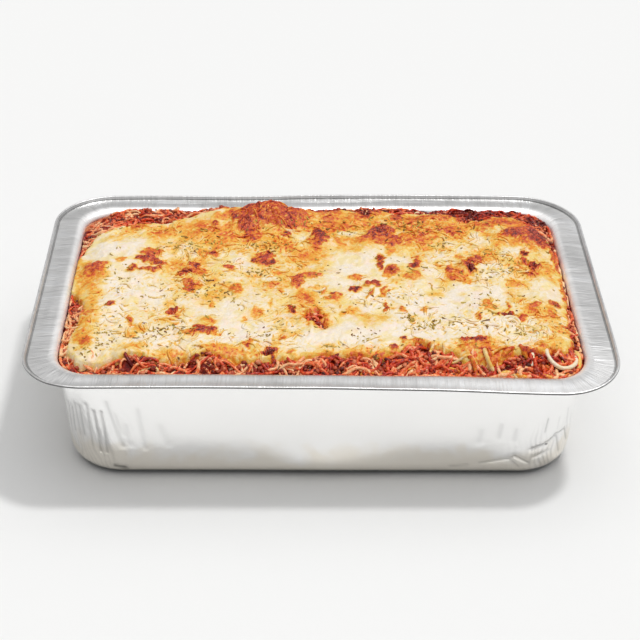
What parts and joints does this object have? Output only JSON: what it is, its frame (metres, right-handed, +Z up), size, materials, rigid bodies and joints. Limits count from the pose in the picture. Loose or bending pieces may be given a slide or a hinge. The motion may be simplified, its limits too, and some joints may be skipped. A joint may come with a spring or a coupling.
{
  "type": "foil tray meal",
  "caption": "Deep rectangular foil tray filled with baked spaghetti in tomato meat sauce, under a browned layer of melted cheese with herbs.",
  "frame": {"origin": "centre of the tray's underside, on the surface it stands on", "axes": "+X along the tray's long side, +Y towards its back, +Z up"},
  "size_m": [0.325, 0.222, 0.0871],
  "materials": {
    "foil": "bright rolled foil, crinkled, with fine stamping ribs",
    "sauce": null,
    "cheese": null,
    "herbs": null
  },
  "bodies": {
    "root": {"foil_tray": "foil", "baked_spaghetti": "sauce", "melted_cheese": "cheese"}
  },
  "joints": []
}
